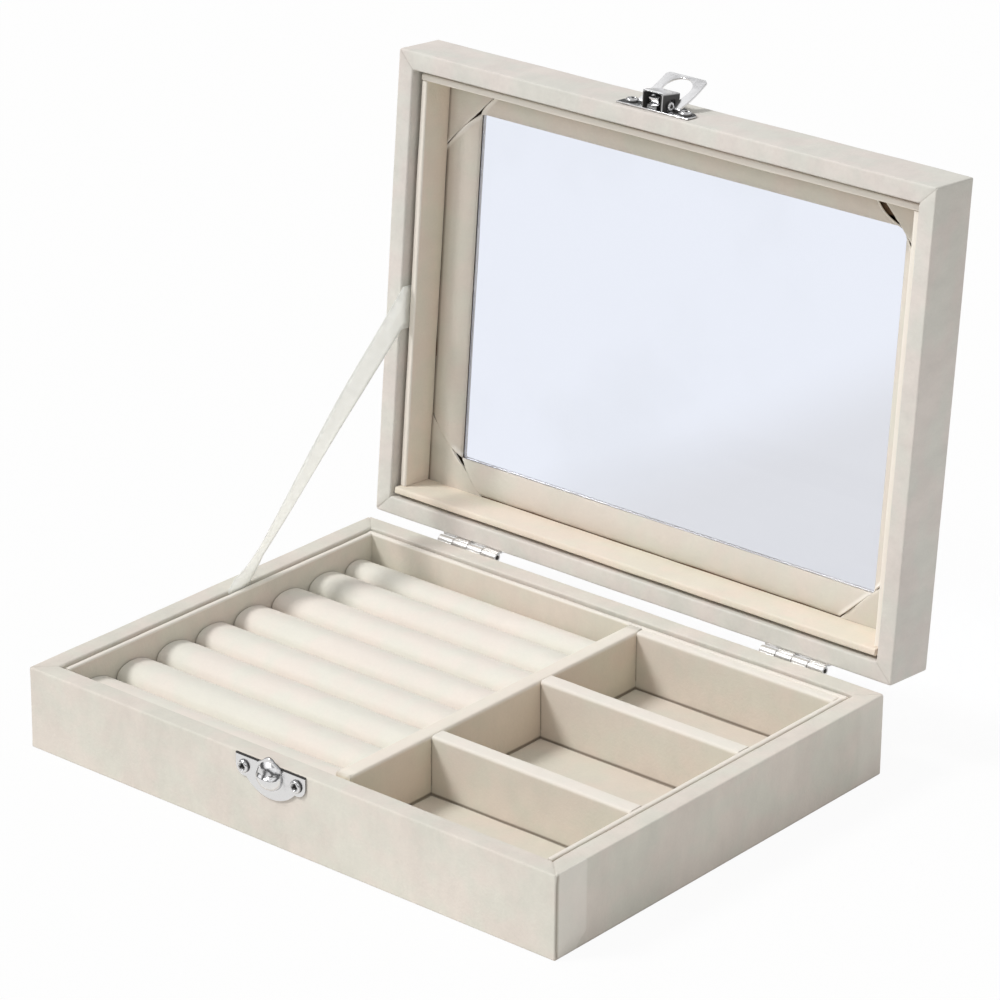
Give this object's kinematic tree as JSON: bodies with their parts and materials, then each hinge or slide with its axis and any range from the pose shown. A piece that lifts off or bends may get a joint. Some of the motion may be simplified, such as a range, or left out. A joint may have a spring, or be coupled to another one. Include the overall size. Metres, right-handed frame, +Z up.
{
  "type": "ring display box",
  "caption": "Velvet-covered ring box: a tray of padded ring rolls and open compartments under a hinged lid with a clear window, a stay ribbon and a flap latch.",
  "frame": {"origin": "centre of the flat underside of the tray", "axes": "+X along the width, -Y to the front with the catch, +Z up"},
  "size_m": [0.2, 0.1873, 0.1837],
  "materials": {
    "board": "raw fibreboard, hidden under the covering",
    "outer_velvet": "short matt velvet",
    "inner_velvet": "short matt velvet",
    "roll_velvet": "short soft velvet over foam",
    "bay_card": "matt card",
    "underside_sheet": "thin flocked sheet",
    "window_glass": "clear and smooth",
    "stay_ribbon": "thin woven satin ribbon",
    "hinge_metal": "nickel plated, bright",
    "latch_metal": "nickel plated, bright"
  },
  "bodies": {
    "base": {"base_front_wall": "board", "base_back_wall": "board", "base_left_wall": "board", "base_right_wall": "board", "base_bottom_board": "board", "base_cover": "outer_velvet", "underside_sheet": "underside_sheet", "base_front_liner": "inner_velvet", "base_back_liner": "inner_velvet", "base_left_liner": "inner_velvet", "base_right_liner": "inner_velvet", "long_divider": "inner_velvet", "front_cross_divider": "inner_velvet", "rear_cross_divider": "inner_velvet", "compartment_back_pad": "inner_velvet", "front_floor_pad": "inner_velvet", "middle_floor_pad": "inner_velvet", "rear_floor_pad": "inner_velvet", "roll_bay_card": "bay_card", "ring_roll_1": "roll_velvet", "ring_roll_2": "roll_velvet", "ring_roll_3": "roll_velvet", "ring_roll_4": "roll_velvet", "ring_roll_5": "roll_velvet", "ring_roll_6": "roll_velvet", "ring_roll_7": "roll_velvet", "ring_roll_8": "roll_velvet", "left_hinge_base_leaf": "hinge_metal", "left_hinge_pin": "hinge_metal", "right_hinge_base_leaf": "hinge_metal", "right_hinge_pin": "hinge_metal", "base_hinge_nails": "hinge_metal", "catch_plate": "latch_metal", "catch_screws": "latch_metal", "stay_ribbon": "stay_ribbon"},
    "lid": {"lid_front_wall": "board", "lid_back_wall": "board", "lid_left_wall": "board", "lid_right_wall": "board", "lid_top_board": "board", "lid_cover": "outer_velvet", "lid_front_liner": "inner_velvet", "lid_back_liner": "inner_velvet", "lid_left_liner": "inner_velvet", "lid_right_liner": "inner_velvet", "window_glass": "window_glass", "window_front_flap": "inner_velvet", "window_back_flap": "inner_velvet", "window_left_flap": "inner_velvet", "window_right_flap": "inner_velvet", "window_corner_pads": "inner_velvet", "left_hinge_lid_leaf": "hinge_metal", "right_hinge_lid_leaf": "hinge_metal", "lid_hinge_nails": "hinge_metal", "latch_plate": "latch_metal", "latch_housing": "latch_metal", "latch_pin": "latch_metal", "latch_screws": "latch_metal"},
    "flap": {"latch_flap": "latch_metal"}
  },
  "joints": [
    {"name": "lid_hinge", "type": "hinge", "parent": "base", "child": "lid", "pos_m": [0, 0.07682, 0.02565], "axis": [1, 0, 0], "range_deg": [0, 94.4], "deforming": ["stay_ribbon"]},
    {"name": "latch_hinge", "type": "hinge", "parent": "lid", "child": "flap", "pos_m": [-0.0032, 0.09455, 0.17856], "axis": [1, 0, 0], "range_deg": [0, 155]}
  ]
}
